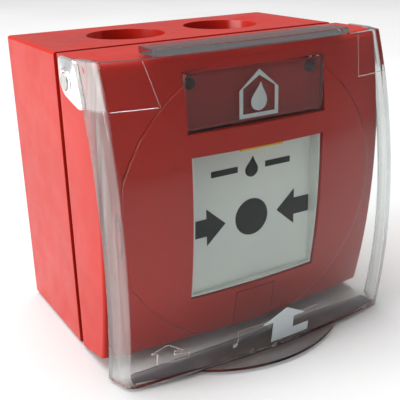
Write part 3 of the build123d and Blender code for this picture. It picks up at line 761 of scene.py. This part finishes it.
beads = {
    "pockets": [[(s * 33.6, 43.0), (s * 31.2, 32.0), (s * 43.4, 32.1)] for s in (-1, 1)],
    "panel": [[(-13.4, -35.9), (-13.4, -31.9), (14.0, -31.8), (13.9, -35.7)]],
    "mark": [[(-34.4, -30.0), (-38.7, -32.0), (-37.0, -32.4), (-37.2, -35.6), (-28.4, -35.9), (-28.2, -33.9),
              (-32.4, -33.8), (-32.4, -32.6), (-30.0, -32.9), (-34.4, -30.0)]],
    "studs": [[(-14.8, -36.4), (-14.1, -36.4), (-13.4, -36.4)], [(-9.1, -40.2), (-8.4, -40.3), (-7.7, -40.5)],
              [(-1.1, -40.9), (-0.4, -41.0), (0.3, -41.0)]],
}
beadSize = {"pockets": (0.20, 0.08), "panel": (0.22, 0.08), "mark": (0.32, 0.12), "studs": (1.6, 0.6)}


def coverBeads():
    points, faces, count = [], [], 0
    for kind, paths in beads.items():
        for path in paths:
            ring, quads, ends = surfaceBead(path, *beadSize[kind])
            points.append(ring)
            faces += (quads + count).tolist() + [(end + count).tolist() for end in ends]
            count += len(ring)
    return np.concatenate(points), faces


points, faces = coverBeads()
mesh = bpy.data.meshes.new("coverBeads")
mesh.from_pydata((points * mm).tolist(), [], faces)
mesh.validate()
mesh.shade_smooth()
mesh.materials.append(beadPlastic)
placePiece("coverBeads", mesh, "cover")
print("cover beads:", len(faces), "faces")


# the remaining CAD nodes get their finishes through their slots

finishes = {
    "hinge_pins": zincSteel, "pictogram": greyInk, "lamp_board": boardGreen,
    "status_leds": lampLens, "mechanism_chassis": blackMoulding, "chassis_screws": zincSteel,
    "housing_screws": zincSteel, "lever_pin": springSteel, "circuit_board": boardGreen,
    "board_screws": zincSteel, "board_components": blackMoulding, "microswitch_body": blackMoulding,
    "microswitch_pins": brassMetal, "terminal_block": terminalGreen, "terminal_clamps": brassMetal,
    "terminal_screws": zincSteel, "lift_arrow": arrowInk, "element_print": blackInk,
    "element_carrier": blackMoulding, "status_flag": yellowMoulding,
    "switch_lever": yellowMoulding, "switch_plunger": lampLens, "reset_cam": blackMoulding,
    "box_gasket": sealRubber,
}
for nodeName, material in finishes.items():
    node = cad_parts[nodeName]
    for slotNumber in range(max(1, len(node.data.materials))):
        if len(node.data.materials) <= slotNumber:
            node.data.materials.append(material)
        else:
            node.material_slots[slotNumber].material = material

tidyCopy("back_box", "backBox", redCasing, "station", 0.35)
tidyCopy("key_guide", "keyGuide", redFront, "station", 0.12)
tidyCopy("element_plate", "pressElement", whitePlate, "element", 0.1)

# the pane: a plate whose rim falls back by r - sqrt(r^2 - d^2), d being how far the rim is passed

pane = {"half": 21.95, "low": 23.05, "high": 38.35, "front": -65.0, "back": -63.5, "rim": 0.45, "cell": 1.2}


def indicatorPane():
    p = pane
    xs = spacedLines([-p["half"], p["half"]], p["cell"], (p["rim"], p["rim"]))
    zs = spacedLines([p["low"], p["high"]], p["cell"], (p["rim"], p["rim"]))
    x, z = np.meshgrid(xs, zs)
    y = p["front"] + roundDrop(p["half"] - np.abs(x), p["rim"])
    y = y + roundDrop(z - p["low"], p["rim"]) + roundDrop(p["high"] - z, p["rim"])
    face = np.stack([x, np.minimum(y, p["back"] - 0.3), z], axis=-1)
    back = np.stack([x, np.full_like(x, p["back"]), z], axis=-1)
    rows, cols = x.shape
    number = np.arange(rows * cols).reshape(rows, cols)
    border = np.concatenate([number[0, :-1], number[:-1, -1], number[-1, :0:-1], number[:0:-1, 0]])
    faces = np.concatenate([
        gridFaces(rows, cols), gridFaces(rows, cols)[:, ::-1] + rows * cols,
        loopBand(border + rows * cols, border),
    ])
    return np.concatenate([face.reshape(-1, 3), back.reshape(-1, 3)]), faces


# the tray behind it: four rectangles one inside the next, closed by its back and its floor

backing = {
    "half": 21.6, "low": 23.4, "high": 38.0, "back": -60.2, "floor": -60.8, "front": -63.2, "wall": 0.5,
}


def lampBacking():
    b = backing
    rings = []
    for y, inset in ((b["back"], 0.0), (b["front"], 0.0), (b["front"], b["wall"]), (b["floor"], b["wall"])):
        x, low, high = b["half"] - inset, b["low"] + inset, b["high"] - inset
        rings.append([(-x, y, low), (x, y, low), (x, y, high), (-x, y, high)])
    faces = np.concatenate([gridFaces(4, 4, wrapCols=True), [[3, 2, 1, 0]], [[12, 13, 14, 15]]])
    return np.concatenate(rings), faces.tolist()


points, faces = indicatorPane()
buildPiece("indicatorPane", points, faces, tintedPanePlastic, "station", "tinted_pane", ["indicator_window"])
print("back box and finishes done")


# the return springs: a tube of radius w along (c cos a, y, c sin a)

spring = {"wire": 0.35, "coil": 2.85, "turns": 4, "front": -56.0, "back": -50.0, "x": 16.0,
          "z": (10.0, -19.0), "travel": 2.2}


def returnSprings():
    s = spring
    steps, around = 160, 10
    a = np.linspace(0, 2 * math.pi * s["turns"], steps)[:, None]
    b = np.linspace(0, 2 * math.pi, around, endpoint=False)[None, :]
    start, stop = s["front"] + s["wire"], s["back"] - s["wire"]
    y = start + (stop - start) * a / a[-1] + s["wire"] * np.sin(b)
    radius = s["coil"] + s["wire"] * np.cos(b)
    x, z = radius * np.cos(a), radius * np.sin(a)
    one = np.stack([x, y + 0 * x, z], axis=-1).reshape(-1, 3)
    tube = gridFaces(steps, around, wrapCols=True).tolist()
    tube += [list(range(around))[::-1], list(range((steps - 1) * around, steps * around))]
    points, faces = [], []
    for side in (-1, 1):
        for height in s["z"]:
            faces += [[k + len(points) * len(one) for k in face] for face in tube]
            points.append(one + [side * s["x"], 0, height])
    return np.concatenate(points), faces


def facesPiece(name, points, faces, material, body, slotName, replaced=()):
    # a piece from faces of mixed length
    mesh = outwardMesh(name, points, faces)
    mesh.materials.append(material)
    return placePiece(name, mesh, body, replaced)


points, faces = lampBacking()
facesPiece("lampBacking", points, faces, backPlate, "station", "dark_plate", ["lamp_backing"])

points, faces = returnSprings()
springArgs = ("station", "spring_steel", ["return_springs"])
springPiece = facesPiece("returnSprings", points, faces, springSteel, *springArgs)
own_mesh(springPiece)
print("lamp tray and springs done")


# the room: a pale level floor and two soft studio lights

stage = {"half": 9.0, "lines": 15, "z": -0.0436}


def addStage():
    # a wide level floor: an even grid at one height
    across = np.linspace(-stage["half"], stage["half"], stage["lines"])
    x, y = np.meshgrid(across, across)
    points = np.stack([x, y, np.full_like(x, stage["z"])], axis=-1).reshape(-1, 3)
    mesh = bpy.data.meshes.new("studioFloor")
    mesh.from_pydata(points.tolist(), [], gridFaces(stage["lines"], stage["lines"]).tolist())
    mesh.shade_smooth()
    mat, tree, shader = newMaterial("studioWhite")
    cloud = rampOn(tree, noiseOn(tree, 6.0, 3.0), [(0.3, (0.66, 0.66, 0.66)), (0.7, (0.70, 0.70, 0.70))])
    tree.links.new(cloud, shader.inputs["Base Color"])
    shader.inputs["Roughness"].default_value = 0.9
    mesh.materials.append(mat)
    floor = bpy.data.objects.new("studioFloor", mesh)
    bpy.context.scene.collection.objects.link(floor)


def addLight(name, place, target, size, power):
    data = bpy.data.lights.new(name, "AREA")
    data.shape = "RECTANGLE"
    data.size, data.size_y = size
    data.energy = power
    lamp = bpy.data.objects.new(name, data)
    back = np.array(place, float) - np.array(target, float)
    back /= np.linalg.norm(back)
    right = np.cross([0, 0, 1.0], back)
    right /= np.linalg.norm(right)
    up = np.cross(back, right)
    turn = np.array([right, up, back]).T.tolist()
    lamp.matrix_world = Matrix([[*row, p] for row, p in zip(turn, place)] + [[0, 0, 0, 1]])
    bpy.context.scene.collection.objects.link(lamp)


addStage()
addLight("topLight", (-0.2, 0.2, 1.8), (0, 0, 0), (2.0, 2.0), 52.0)
addLight("sideLight", (-1.2, 0.1, 0.35), (0, -0.03, 0), (0.8, 0.8), 17.0)
world = bpy.data.worlds.new("studioAir")
bpy.context.scene.world = world
world.use_nodes = True
world.node_tree.nodes["Background"].inputs["Color"].default_value = (1.0, 1.0, 1.0, 1.0)
world.node_tree.nodes["Background"].inputs["Strength"].default_value = 0.3
bpy.context.scene.view_settings.view_transform = "Standard"
print("room lit")
